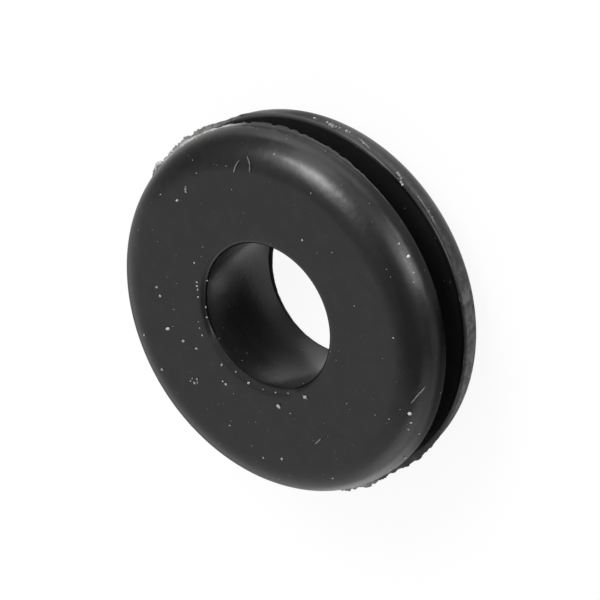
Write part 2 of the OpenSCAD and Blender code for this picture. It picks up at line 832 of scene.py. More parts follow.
@dataclass(frozen=True)
class FlashFinish:
    """Torn mould flash: dark and dusty, darker to the south as painted shade, lighter at its root as painted
    fill light, and pale with a painted catch light towards +X and -X.
    """

    name: str = "torn_flash"
    dark: Colour = (0.02, 0.02, 0.02, 1.0)
    dusty: Colour = (0.10, 0.10, 0.098, 1.0)
    # Pale flash with a painted catch light at the ring's two ends, towards +X and -X.
    pale_catch_light: Colour = (0.47, 0.47, 0.46, 1.0)
    east_past: Span = (6.9, 7.4)
    west_past: Span = (6.5, 7.1)
    west_north_of: Span = (0.3, 1.0)
    front_above: Span = (2.2, 2.4)
    greyer_past: Span = (7.57, 7.66)
    greyer: float = 0.35
    # The painted catch light on the back flash towards +X.
    back_past: Span = (7.3, 7.6)
    back_catch_light: float = 0.45
    # Painted shade: the flash darkens to the south, keeping little of its dust there.
    shade_south_of: Span = (-0.5, -2.5)
    dust_left_in_shade: float = 0.1
    # Painted fill light: the flash is lighter at its root, over the shaded line where it meets the rim.
    root_fades: Span = (7.54, 7.66)
    root_fill: float = 0.5
    dust: Patches = Patches(1.6, 4.0, 0.6, (0.36, 0.66))
    white: Patches = Patches(3.0, 3.0, 0.6, (0.36, 0.58), 0.55, 1.0)
    white_shift: tuple[float, float, float] = (7.0, 3.0, 5.0)
    roughness: float = 0.6

    def make(self) -> Material:
        """Builds the material.

        Returns:
            The material.
        """
        material, kit, shader = new_material(self.name)
        place = millimetres(kit)
        east, north, height = kit.add("ShaderNodeSeparateXYZ", place).outputs
        radius = kit.polar(place)[0]
        # Where the pale flash and its painted catch light lie: at both ends of the ring, fading towards the
        # tips, in patches.
        west = kit.ease(kit.product(east, -1.0), *self.west_past)
        north_west = kit.product(west, kit.ease(north, *self.west_north_of))
        ends = kit.math("MAXIMUM", kit.ease(east, *self.east_past), north_west)
        tip = kit.ease(radius, *self.greyer_past, 1.0, self.greyer)
        front = kit.product(ends, kit.ease(height, *self.front_above), tip)
        back = kit.ease(east, *self.back_past, 0.0, self.back_catch_light)
        patches = self.white.at(kit, kit.vector("ADD", place, self.white_shift))
        white = kit.product(kit.math("MAXIMUM", front, back), patches)
        # Painted shade towards the south.
        unshaded = kit.ease(north, *self.shade_south_of, 1.0, self.dust_left_in_shade)
        dust = kit.product(self.dust.at(kit, place), unshaded)
        # Painted fill light at the flash's root.
        root = kit.ease(radius, *self.root_fades, self.root_fill, 0.0)
        mottled = kit.tint(kit.math("MAXIMUM", dust, root), self.dark, self.dusty)
        kit.fill(shader, {"Base Color": kit.tint(white, mottled, self.pale_catch_light), "Roughness": self.roughness})
        return material


PALE_FLASH = FlashFinish(
    "pale_flash", (0.18, 0.18, 0.178, 1.0), (0.34, 0.34, 0.335, 1.0), greyer_past=(7.8, 7.9))


@dataclass(frozen=True)
class LintFinish:
    """Dull pale dust or fibre, lighter and darker from grain to grain."""

    name: str
    pale: Colour
    dark: Colour
    per_mm: float = 3.0
    detail: float = 1.0
    rough: float = 0.5
    span: Span = (0.35, 0.65)
    roughness: float = 0.9

    def make(self) -> Material:
        """Builds the material.

        Returns:
            The material.
        """
        material, kit, shader = new_material(self.name)
        shade = Patches(self.per_mm, self.detail, self.rough, self.span).at(kit, millimetres(kit))
        kit.fill(shader, {"Base Color": kit.tint(shade, self.dark, self.pale), "Roughness": self.roughness})
        return material


DUST = LintFinish("grey_dust", (0.45, 0.45, 0.44, 1.0), (0.12, 0.12, 0.118, 1.0), 2.0)
CHALK = LintFinish("white_dust", (0.86, 0.86, 0.85, 1.0), (0.40, 0.40, 0.39, 1.0), 1.5)
FIBRE = LintFinish("grey_lint", (0.17, 0.17, 0.17, 1.0), (0.10, 0.10, 0.10, 1.0))
FLUFF = LintFinish("rim_fluff", (0.36, 0.36, 0.35, 1.0), (0.22, 0.22, 0.22, 1.0))


# ---------------------------------------------------------------- the body


@dataclass(frozen=True)
class GrommetBody:
    """The moulded ring: the section turned round the axis, with the moulding's small faults."""

    path_r: float = 5.0
    steps_around: int = 720
    front_shift: tuple[float, float] = (0.11, -0.06)
    back_shift: tuple[float, float] = (0.06, 0.02)
    shift_fades_at: float = 5.8
    ripple: float = 0.012
    ripple_per_mm: float = 0.35
    ripple_detail: float = 1.0
    floor_fades: Span = (0.05, 0.6)

    def recipe(self) -> GeometryRecipe:
        """Builds the tree that turns the section, shifts the bore and ripples the skin.

        Returns:
            The recipe.
        """
        made = GeometryRecipe("moulded_ring", {
            "Section": InputKind.GEOMETRY, "Path Radius": InputKind.FLOAT, "Steps": InputKind.INT,
            "Front Shift": InputKind.VECTOR, "Back Shift": InputKind.VECTOR, "Ripple": InputKind.FLOAT,
            "Material": InputKind.MATERIAL})
        kit = made.kit
        swept = made.turned(made.given("Section"), made.given("Path Radius"), made.given("Steps"))
        place = kit.position()
        radius, height, _ = kit.polar(place)
        near_bore = kit.ease(radius, SECTION.bore_r * MM, self.shift_fades_at * MM, 1.0, 0.0)
        share = kit.math("DIVIDE", height, SECTION.total_t * MM)
        shift = kit.blend(share, made.given("Back Shift"), made.given("Front Shift"), MixKind.VECTOR)
        wave = kit.centred(kit.noise(kit.scaled(place, 1 / MM), self.ripple_per_mm, self.ripple_detail))
        off_floor = kit.ease(height, *(z * MM for z in self.floor_fades))
        swell = kit.product(wave, made.given("Ripple"), off_floor)
        outward = kit.scaled(kit.add("GeometryNodeInputNormal").outputs[0], swell)
        shaped = kit.add("GeometryNodeSetPosition", swept)
        kit.fill(shaped, {"Offset": kit.vector("ADD", kit.scaled(shift, near_bore), outward)})
        made.close(shaped.outputs[0])
        return made

    def build(self, rubber: Material) -> Object:
        """Makes the body's object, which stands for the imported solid.

        Args:
            rubber: its material.

        Returns:
            The body.
        """
        base = turning_profile("grommet_section", SECTION.outline(), self.path_r)
        body = self.recipe().run(
            "grommet_body", base, Path_Radius=self.path_r * MM, Steps=self.steps_around,
            Front_Shift=Vector((*self.front_shift, 0.0)) * MM,
            Back_Shift=Vector((*self.back_shift, 0.0)) * MM, Ripple=self.ripple * MM, Material=rubber)
        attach(body, BODY)
        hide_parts(NODE)
        return body


# ---------------------------------------------------------------- moulding flash


@dataclass(frozen=True)
class Fin:
    """A thin ragged fin that the mould's parting line left along an edge, in degrees and millimetres."""

    name: str
    edge_r: float
    height: float
    grows: Growth
    reach: tuple[tuple[float, float], ...]
    root: float = 0.1
    thick: float = 0.045
    taper: tuple[Span, ...] = ((0.0, 1.0), (0.4, 1.0), (0.75, 0.8), (0.94, 0.45), (1.0, 0.0))
    steps: int = 2400
    ragged_per_mm: float = 3.2
    least: float = 0.6

    @property
    def start_r(self) -> float:
        """The radius where the fin's root lies, inside the body."""
        return self.edge_r - self.grows.value * self.root

    def profile(self) -> list[tuple[float, float]]:
        """Lists the outline of a thin wedge, one millimetre wide.

        Returns:
            Radius and height of each point, in millimetres, anticlockwise.
        """
        upper = [(share, self.thick / 2 * part) for share, part in self.taper]
        wedge = [(share, -z) for share, z in upper] + upper[-2::-1]
        points = [(self.start_r + self.grows.value * share, self.height + z) for share, z in wedge]
        return points if self.grows is Growth.OUTWARD else points[::-1]

    def build(self, recipe: "FinRecipe", rubber: Material) -> Object:
        """Makes the fin's object.

        Args:
            recipe: the tree that all fins share.
            rubber: its material.

        Returns:
            The fin.
        """
        base = turning_profile(self.name, self.profile(), self.edge_r)
        recipe.set_reach(self.reach)
        fin = recipe.made.run(
            self.name, base, Path_Radius=self.edge_r * MM, Steps=self.steps, Root=self.root * MM,
            Start=self.start_r * MM, Outward=float(self.grows.value), Ragged=self.ragged_per_mm,
            Least=self.least, Material=rubber)
        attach(fin, BODY)
        return fin


@dataclass
class FinRecipe:
    """The tree that turns a wedge round an edge and stretches it by a curve of reach over angle."""

    longest: float = 0.5
    teeth_detail: float = 3.0
    teeth_span: Span = (0.36, 0.62)
    teeth_most: float = 1.15
    waver: float = 0.03
    waver_per_mm: float = 1.1
    waver_shift: tuple[float, float, float] = (9.0, 4.0, 2.0)

    def __post_init__(self) -> None:
        """Builds the tree."""
        made = GeometryRecipe("parting_fin", {
            "Section": InputKind.GEOMETRY, "Path Radius": InputKind.FLOAT, "Steps": InputKind.INT,
            "Root": InputKind.FLOAT, "Start": InputKind.FLOAT, "Outward": InputKind.FLOAT,
            "Ragged": InputKind.FLOAT, "Least": InputKind.FLOAT, "Material": InputKind.MATERIAL})
        self.made = made
        kit = made.kit
        swept = made.turned(made.given("Section"), made.given("Path Radius"), made.given("Steps"))
        radius, height, aim = kit.polar(kit.position())
        parts = kit.add("ShaderNodeSeparateXYZ", aim).outputs
        turn = kit.math("FRACT", kit.math("DIVIDE", kit.math("ARCTAN2", parts[1], parts[0]), math.tau))
        self.curve = kit.add("ShaderNodeFloatCurve", 1.0, turn)
        around = kit.scaled(aim, kit.math("DIVIDE", made.given("Path Radius"), MM))
        ragged = kit.noise(around, made.given("Ragged"), self.teeth_detail)
        teeth = kit.ease(ragged, *self.teeth_span, made.given("Least"), self.teeth_most)
        reach = kit.product(self.curve.outputs[0], self.longest * MM, teeth)
        out = kit.product(kit.math("SUBTRACT", radius, made.given("Start")), made.given("Outward"))
        share = kit.math("DIVIDE", out, MM)
        grown = kit.product(share, kit.math("ADD", made.given("Root"), reach), made.given("Outward"))
        wave = kit.centred(kit.noise(kit.vector("ADD", around, self.waver_shift), self.waver_per_mm))
        lift = kit.product(wave, share, self.waver * 2 * MM)
        rise = kit.add("ShaderNodeCombineXYZ", 0.0, 0.0, kit.math("ADD", height, lift)).outputs[0]
        spot = kit.vector("ADD", kit.scaled(aim, kit.math("ADD", made.given("Start"), grown)), rise)
        shaped = kit.fill(kit.add("GeometryNodeSetPosition", swept), {"Position": spot})
        made.close(shaped.outputs[0])

    def set_reach(self, stops: Sequence[tuple[float, float]]) -> None:
        """Sets how far the fin reaches at each angle.

        Args:
            stops: angles in degrees, rising from 0 to 360, and the reach there in millimetres.
        """
        mapping = self.curve.mapping
        points = mapping.curves[0].points
        while len(points) > 2:
            points.remove(points[1])
        first, *between, last = [(angle / 360, reach / self.longest) for angle, reach in stops]
        points[0].location, points[-1].location = first, last
        for turn, reach in between:
            points.new(turn, reach)
        mapping.update()


RIM_FIN = Fin("rim_flash", edge_r=7.46, height=1.62, grows=Growth.OUTWARD, reach=(
    (0, 0.20), (3.7, 0.27), (5.6, 0.32), (7.5, 0.34), (10, 0.40), (13, 0.46), (15.5, 0.44), (18, 0.23),
    (22, 0.0), (150, 0.0), (162, 0.07), (166, 0.12), (170, 0.16), (174, 0.19), (178, 0.19), (182, 0.20),
    (188, 0.17),
    (200, 0.10), (212, 0.04), (225, 0.0), (290, 0.0), (303, 0.03), (312, 0.05), (322, 0.06), (332, 0.06),
    (345, 0.08), (351, 0.05), (355, 0.06), (357.7, 0.11), (360, 0.20)), ragged_per_mm=2.2, least=0.8)

EDGE_FIN = Fin("front_flash", edge_r=SECTION.rim_r, height=2.96, grows=Growth.OUTWARD, reach=(
    (0, 0.09), (3, 0.14), (6, 0.19), (8.4, 0.19), (10, 0.12), (12.7, 0.13), (14.7, 0.18), (17, 0.22),
    (20, 0.22), (23, 0.13), (28, 0.11), (36, 0.09), (50, 0.07), (70, 0.04), (120, 0.02), (140, 0.02),
    (150, 0.04), (156, 0.07), (160, 0.13), (162.2, 0.15), (164.2, 0.20), (166, 0.14), (167.5, 0.08),
    (169, 0.14), (171, 0.17), (174, 0.15), (177, 0.13), (179, 0.10), (181, 0.08), (183, 0.06), (186, 0.02),
    (200, 0.0), (278, 0.0), (288, 0.04), (297, 0.09), (306, 0.12), (316, 0.14), (326, 0.14), (336, 0.12),
    (343, 0.09), (348, 0.06), (353, 0.06), (360, 0.09)), ragged_per_mm=3.2, least=0.55)

BORE_FIN = Fin("bore_flash", edge_r=SECTION.bore_r, height=0.13, grows=Growth.INWARD, reach=(
    (0, 0.0), (20, 0.02), (60, 0.035), (95, 0.03), (120, 0.01), (150, 0.03), (175, 0.01), (200, 0.0),
    (360, 0.0)), root=0.14, ragged_per_mm=2.4)


@dataclass(frozen=True)
class Strand:
    """A thin strand through points, in millimetres: a peeled thread of flash, or a fibre."""

    name: str
    points: tuple[Vector, ...]
    radius: float
    beads: float = 0.2
    steps_per_mm: float = 14.0

    def path(self) -> Mesh:
        """Lays edges along a smooth curve through the points.

        Returns:
            The edges' mesh.
        """
        ends = (self.points[0] * 2 - self.points[1], self.points[-1] * 2 - self.points[-2])
        knots = (ends[0], *self.points, ends[1])
        spots: list[Vector] = []
        for a, b, c, d in zip(knots, knots[1:], knots[2:], knots[3:]):
            steps = max(2, round((c - b).length * self.steps_per_mm))
            spots += [curve_through(a, b, c, d, i / steps) * MM for i in range(steps)]
        return polyline(self.name, [*spots, self.points[-1] * MM], closed=False)


def curve_through(a: Vector, b: Vector, c: Vector, d: Vector, t: float) -> Vector:
    """Returns the place a share t of the way from b to c on a smooth curve through four points."""
    bend, twist = 2 * a - 5 * b + 4 * c - d, 3 * b - a - 3 * c + d
    return 0.5 * (2 * b + (c - a) * t + bend * t ** 2 + twist * t ** 3)


@dataclass
class StrandRecipe:
    """The tree that gives a strand its round, slightly beaded thickness."""

    bead_per_mm: float = 4.0
    bead_detail: float = 2.0
    bead_rough: float = 0.6
    bead_gain: float = 4.0
    taper: float = 0.12
    tip: float = 0.35
    thinnest: float = 0.25
    sides: int = 6

    def __post_init__(self) -> None:
        """Builds the tree."""
        made = GeometryRecipe("strand", {
            "Path": InputKind.GEOMETRY, "Radius": InputKind.FLOAT, "Beads": InputKind.FLOAT,
            "Material": InputKind.MATERIAL})
        self.made = made
        kit = made.kit
        place = kit.scaled(kit.position(), 1 / MM)
        wave = kit.centred(kit.noise(place, self.bead_per_mm, self.bead_detail, self.bead_rough))
        swell = kit.math("MULTIPLY_ADD", kit.product(wave, made.given("Beads")), self.bead_gain, 1.0)
        along = kit.add("GeometryNodeSplineParameter").outputs["Factor"]
        ends = kit.product(kit.ease(along, 0.0, self.taper, self.tip, 1.0),
                           kit.ease(along, 1.0 - self.taper, 1.0, 1.0, self.tip))
        thick = kit.math("MAXIMUM", kit.product(swell, ends), self.thinnest)
        sized = kit.product(thick, made.given("Radius"))
        path = kit.add("GeometryNodeMeshToCurve", made.given("Path")).outputs[0]
        ring = kit.add("GeometryNodeCurvePrimitiveCircle")
        kit.fill(ring, {"Resolution": self.sides, "Radius": 1.0})
        tube = kit.add("GeometryNodeCurveToMesh", path, ring.outputs[0], sized, True)
        made.close(tube.outputs[0])

    def build(self, name: str, strands: Sequence[Strand], material: Material) -> Object:
        """Makes one object of several strands.

        Args:
            name: the object's name.
            strands: the strands.
            material: their material.

        Returns:
            The object.
        """
        whole = joined(name, [
            self.made.run(strand.name, strand.path(), Radius=strand.radius * MM, Beads=strand.beads,
                          Material=material)
            for strand in strands])
        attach(whole, BODY)
        return whole


def around_axis(stops: Iterable[tuple[float, float]], height: float) -> tuple[Vector, ...]:
    """Turns angles in degrees and radii into points at one height."""
    turns = [(math.radians(angle), r) for angle, r in stops]
    return tuple(Vector((r * math.cos(turn), r * math.sin(turn), height)) for turn, r in turns)


FLASH_THREADS = (
    Strand("top_thread", around_axis((
        (345, 7.57), (350, 7.54), (354, 7.53), (357.5, 7.57), (1, 7.66), (4, 7.70), (6.6, 7.74), (9.5, 7.78)),
        1.62), 0.024, 0.8),
)

FLASH_CURLS = (
    Strand("high_curl", around_axis((
        (8.9, 7.54), (9.7, 7.61), (10.8, 7.64), (11.8, 7.60), (12.4, 7.54)), 2.94), 0.060, 0.5),
    Strand("low_curl", around_axis((
        (15.8, 7.58), (16.8, 7.67), (17.8, 7.72), (18.7, 7.70), (19.7, 7.59)), 2.94), 0.088, 0.9),
)


# ---------------------------------------------------------------- dust, fibres and painted glints


@dataclass(frozen=True)
class Speck:
    """A named grain: its place in the 600-pixel frame, and its radius in millimetres before the swell."""

    name: str
    x: float
    y: float
    radius: float


# Along the lower lip, the lip_five to lip_eight grains are dust that also serves as painted glints of a
# broken highlight.
SPECKS = (
    Speck("left_of_bore", 167.8, 328.0, 0.052), Speck("under_bore", 278.7, 405.7, 0.052),
    Speck("right_shoulder", 407.4, 256.1, 0.047), Speck("low_right_shoulder", 409.2, 412.6, 0.048),
    Speck("low_right_second", 410.6, 421.9, 0.034), Speck("low_right_third", 408.0, 428.8, 0.026),
    Speck("upper_left", 177.0, 199.8, 0.036), Speck("over_bore", 302.2, 239.5, 0.029),
    Speck("bore_tick", 304.9, 396.5, 0.036), Speck("upper_left_dash", 185.3, 186.4, 0.024),
    Speck("upper_left_dash_b", 185.4, 188.8, 0.026), Speck("upper_left_dash_c", 185.6, 191.2, 0.022),
    Speck("low_left_rim", 162.0, 369.0, 0.031), Speck("lip_seven", 221.7, 364.1, 0.030),
    Speck("right_shoulder_second", 398.4, 243.3, 0.030), Speck("left_low", 183.0, 340.3, 0.029),
    Speck("left_high", 160.0, 295.4, 0.029), Speck("low_middle", 263.3, 457.2, 0.028),
    Speck("low_right_edge", 404.1, 456.8, 0.028), Speck("under_lip", 225.8, 383.6, 0.034),
    Speck("under_lip_b", 222.6, 380.6, 0.024), Speck("left_rim", 144.1, 334.5, 0.027),
    Speck("low_middle_right", 281.7, 458.3, 0.027),
    Speck("left_high_second", 156.6, 286.6, 0.026), Speck("lip_eight", 235.5, 371.4, 0.025),
    Speck("left_low_second", 196.3, 348.0, 0.025), Speck("right_face", 413.0, 281.8, 0.023),
    Speck("right_shoulder_third", 409.7, 263.5, 0.022), Speck("right_face_second", 412.9, 272.2, 0.021),
    Speck("lip_five", 275.3, 392.2, 0.022), Speck("lip_seven_second", 248.3, 382.5, 0.028),
    Speck("low_rim", 332.4, 477.7, 0.022), Speck("right_low_face", 392.9, 337.3, 0.022),
    Speck("above_right", 310.6, 192.9, 0.022), Speck("upper_left_second", 160.3, 193.9, 0.022),
    Speck("low_left_a", 196.8, 378.6, 0.030), Speck("low_left_b", 194.4, 382.4, 0.034),
    Speck("low_left_c", 192.2, 377.8, 0.026), Speck("low_left_d", 190.4, 380.4, 0.018),
    Speck("low_left_e", 197.0, 382.2, 0.020), Speck("low_right_rim", 418.5, 433.0, 0.021),
    Speck("right_of_bore", 354.1, 305.2, 0.017), Speck("right_low", 374.6, 414.7, 0.013),
    Speck("right_low_second", 388.8, 418.6, 0.017), Speck("low_face", 229.4, 424.9, 0.017),
    Speck("top_face", 225.6, 165.5, 0.011), Speck("top_face_second", 216.3, 164.6, 0.011),
    Speck("top_left_face", 196.0, 172.7, 0.013), Speck("over_left_lip", 202.7, 246.5, 0.018),
    Speck("over_left_lip_second", 194.0, 262.4, 0.018), Speck("under_bore_second", 290.0, 412.8, 0.020),
    Speck("lip_six", 262.8, 388.9, 0.018), Speck("lip_five_second", 287.8, 392.8, 0.018),
    Speck("left_lip_a", 196.6, 281.6, 0.022), Speck("left_lip_b", 196.8, 285.4, 0.026),
    Speck("left_lip_c", 197.4, 289.0, 0.024), Speck("left_lip_d", 197.9, 296.5, 0.024),
    Speck("left_lip_i", 206.4, 279.8, 0.026), Speck("left_lip_j", 202.0, 334.6, 0.024),
    Speck("left_lip_e", 205.2, 306.6, 0.022), Speck("left_lip_f", 199.4, 327.5, 0.022),
    Speck("left_lip_g", 206.3, 316.8, 0.020), Speck("left_lip_h", 197.9, 321.3, 0.014),
    # glint_a to glint_d are pale grains on the long highlight: painted glints.
    Speck("glint_a", 298.4, 166.1, 0.015), Speck("glint_b", 319.5, 179.3, 0.012),
    Speck("glint_c", 292.0, 162.5, 0.015), Speck("glint_d", 327.3, 183.5, 0.013),
    Speck("top_shoulder", 274.2, 154.0, 0.020),
    Speck("back_rim_a", 417.5, 196.3, 0.022), Speck("back_rim_b", 428.2, 210.9, 0.022),
    Speck("back_rim_c", 431.8, 216.9, 0.020), Speck("back_rim_d", 362.9, 142.8, 0.026),
)

RIM_LINT = (
    Speck("rim_lint_a", 396.6, 173.0, 0.040), Speck("rim_lint_b", 398.6, 175.6, 0.048),
    Speck("rim_lint_c", 399.9, 178.6, 0.042), Speck("rim_lint_d", 400.6, 181.6, 0.034),
    Speck("rim_lint_e", 402.0, 184.2, 0.028), Speck("rim_lint_f", 397.6, 178.0, 0.020),
)

CRUMBS = (
    Speck("crumb_a", 313.9, 117.4, 0.060), Speck("crumb_b", 315.8, 118.3, 0.036),
    Speck("crumb_c", 326.8, 121.8, 0.055), Speck("crumb_d", 329.4, 124.0, 0.075),
    Speck("crumb_e", 332.2, 125.6, 0.080), Speck("crumb_f", 335.6, 126.4, 0.060),
    Speck("crumb_g", 339.4, 127.4, 0.050), Speck("crumb_h", 346.2, 130.4, 0.055),
    Speck("crumb_i", 349.2, 131.6, 0.036), Speck("crumb_j", 331.4, 122.8, 0.036),
)

PARTING_HEIGHT = 1.64
"""The height of the parting line, where the crumbs hang, in millimetres."""


class Sight:
    """Finds the spot on a mesh, or on a level plane, that a pixel of the frame looks at."""

    def __init__(self, view: "ViewPoint", body: Object) -> None:
        """Keeps the view and the mesh's faces.

        Args:
            view: the view that the pixels belong to.
            body: the mesh, at the origin.
        """
        self.view = view
        mesh = body.data
        self.tree = BVHTree.FromPolygons([v.co for v in mesh.vertices], [p.vertices for p in mesh.polygons])

    def on_body(self, x: float, y: float) -> tuple[Vector, Vector] | None:
        """Finds the surface spot at a pixel.

        Args:
            x: the pixel's place from the frame's left edge.
            y: the pixel's place from its upper edge.

        Returns:
            The spot, in metres, and its outward direction, or None past the edge.
        """
        start, aim = self.view.ray(x, y)
        spot, normal, _, _ = self.tree.ray_cast(start, aim)
        return (spot, normal) if spot else None

    def on_level(self, x: float, y: float, height: float) -> Vector:
        """Returns the spot at a pixel on a level plane, its height in millimetres."""
        start, aim = self.view.ray(x, y)
        return start + aim * ((height * MM - start.z) / aim.z)


@dataclass
class Dust:
    """Grains of dust, some of them painted glints: a fine scatter over the body above its foot, and the
    larger grains one by one.
    """

    sight: Sight
    density: float = 1.5
    finest: float = 0.007
    coarsest: float = 0.022
    few_large: float = 3.0
    lowest: float = 0.12
    sunk: float = 0.35
    swell: float = 1.95
    bright_from: float = 0.042
    uneven_low: tuple[float, float, float] = (0.6, 0.6, 0.6)
    uneven_high: tuple[float, float, float] = (1.35, 1.15, 1.15)
    turn_seed: int = 0
    uneven_seed: int = 5
    scatter_seed: int = 11
    size_seed: int = 3

    def grains(self, made: GeometryRecipe, points: Socket, size: Socket) -> None:
        """Puts a low-sided uneven grain on each point and ends the tree.

        Args:
            made: the recipe.
            points: the points.
            size: the grain's radius, in metres.
        """
        kit = made.kit
        grain = kit.add("GeometryNodeMeshIcoSphere", 1.0, 1).outputs[0]
        turn = kit.random_vector(None, (math.tau,) * 3, self.turn_seed)
        stretch = kit.random_vector(self.uneven_low, self.uneven_high, self.uneven_seed)
        placed = kit.fill(kit.add("GeometryNodeInstanceOnPoints", points), {
            "Instance": grain, "Rotation": turn, "Scale": kit.scaled(stretch, size)})
        made.close(placed.outputs[0], smooth=False)

    def scatter(self, body: Object, dust: Material) -> Object:
        """Scatters fine dust over the body.

        Args:
            body: the mesh that it lies on.
            dust: its material.

        Returns:
            The dust.
        """
        made = GeometryRecipe("fine_dust", {
            "Surface": InputKind.GEOMETRY, "Density": InputKind.FLOAT, "Finest": InputKind.FLOAT,
            "Coarsest": InputKind.FLOAT, "Material": InputKind.MATERIAL})
        kit = made.kit
        height = kit.add("ShaderNodeSeparateXYZ", kit.position()).outputs[2]
        spread = kit.fill(kit.add("GeometryNodeDistributePointsOnFaces", made.given("Surface")), {
            "Density": made.given("Density"), "Seed": self.scatter_seed,
            "Selection": kit.math("GREATER_THAN", height, self.lowest * MM)})
        draw = kit.fill(kit.add("FunctionNodeRandomValue", data_type="FLOAT"), {"Seed": self.size_seed})
        share = kit.math("POWER", draw.outputs[1], self.few_large)
        size = kit.blend(share, made.given("Finest"), made.given("Coarsest"))
        self.grains(made, spread.outputs["Points"], size)
        piece = made.run(
            "dust_fine", body.data.copy(), Density=self.density / MM ** 2, Finest=self.finest * MM,
            Coarsest=self.coarsest * MM, Material=dust)
        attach(piece, BODY)
        return piece

    def named(self, name: str, spots: Sequence[tuple[Vector, float]], dust: Material) -> Object:
        """Makes one grain at each spot.

        Args:
            name: the piece's name.
            spots: each grain's middle and radius, in metres.
            dust: their material.

        Returns:
            The grains.
        """
        base = bpy.data.meshes.new(name)
        base.from_pydata([spot for spot, _ in spots], [], [])
        sizes = base.attributes.new("size", "FLOAT", "POINT")
        for item, (_, radius) in zip(sizes.data, spots):
            item.value = radius
        made = GeometryRecipe(f"{name}_grains", {"Spots": InputKind.GEOMETRY, "Material": InputKind.MATERIAL})
        size = made.kit.add("GeometryNodeInputNamedAttribute", "size", data_type="FLOAT")
        points = made.kit.add("GeometryNodeMeshToPoints", made.given("Spots"))
        self.grains(made, points.outputs[0], size.outputs[0])
        piece = made.run(name, base, Material=dust)
        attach(piece, BODY)
        return piece

    def build(self, body: Object, dust: Material, chalk: Material, fluff: Material) -> list[Object]:
        """Makes all the dust.

        Args:
            body: the mesh that it lies on.
            dust: the fine scatter's material.
            chalk: the largest specks' material.
            fluff: the material of the other specks, the lump of lint and the crumbs.

        Returns:
            The pieces.
        """
        large = [speck for speck in SPECKS if speck.radius >= self.bright_from]
        small = [speck for speck in SPECKS if speck.radius < self.bright_from]
        return [
            self.scatter(body, dust),
            self.named("dust_bright", self.on_body(large), chalk),
            # The grey grains include painted glints on the highlight and the lip.
            self.named("grey_dust_and_glints", self.on_body(small), fluff),
            self.named("rim_lint", self.on_body(RIM_LINT), fluff),
            self.named("edge_crumbs", self.at_parting(CRUMBS), fluff),
        ]

    def at_parting(self, crumbs: Sequence[Speck]) -> list[tuple[Vector, float]]:
        """Returns each crumb's middle at the parting line and its radius, in metres."""
        return [(self.sight.on_level(c.x, c.y, PARTING_HEIGHT), c.radius * MM) for c in crumbs]

    def on_body(self, specks: Sequence[Speck]) -> list[tuple[Vector, float]]:
        """Lays specks on the body.

        Args:
            specks: the specks.

        Returns:
            Each grain's middle and radius, in metres.
        """
        laid: list[tuple[Vector, float]] = []
        for speck in specks:
            hit = self.sight.on_body(speck.x, speck.y)
            if hit is None:
                log.warning("%s misses the body", speck.name)
                continue
            (spot, normal), radius = hit, speck.radius * self.swell * MM
            laid.append((spot + normal * radius * self.sunk, radius))
        return laid


@dataclass(frozen=True)
class Hair:
    """A named fibre that lies on the body: the pixels it passes, and its radius in millimetres."""

    name: str
    pixels: tuple[tuple[float, float], ...]
    radius: float = 0.030

    def strand(self, sight: Sight) -> Strand:
        """Lays the fibre on the surface.

        Args:
            sight: what finds the spots that the pixels look at.

        Returns:
            The fibre's strand.
        """
        hits = [hit for pixel in self.pixels if (hit := sight.on_body(*pixel))]
        points = tuple(spot / MM + normal * self.radius for spot, normal in hits)
        return Strand(self.name, points, self.radius)


HAIRS = (
    Hair("upper_slash", ((239.6, 160.2), (237.0, 162.8), (235.2, 166.5), (233.6, 171.9))),
    Hair("upper_hook", ((247.0, 155.6), (248.4, 159.5), (249.5, 163.3), (249.8, 167.5), (249.4, 172.0))),
    Hair("rim_streak", ((357.6, 138.4), (361.0, 141.0), (365.4, 145.2), (369.2, 149.8)), 0.036),
    Hair("rim_streak_low", ((415.8, 194.0), (421.0, 201.8), (427.6, 212.2), (434.6, 224.8))),
    Hair("low_right_hair", ((424.5, 385.6), (421.5, 389.5), (416.5, 395.0), (410.6, 402.5))),
    Hair("low_tick", ((315.3, 443.2), (318.0, 440.8), (320.6, 438.2))),
    Hair("bore_tick", ((302.4, 394.4), (305.4, 396.6), (307.8, 399.2))),
)


# ---------------------------------------------------------------- studio


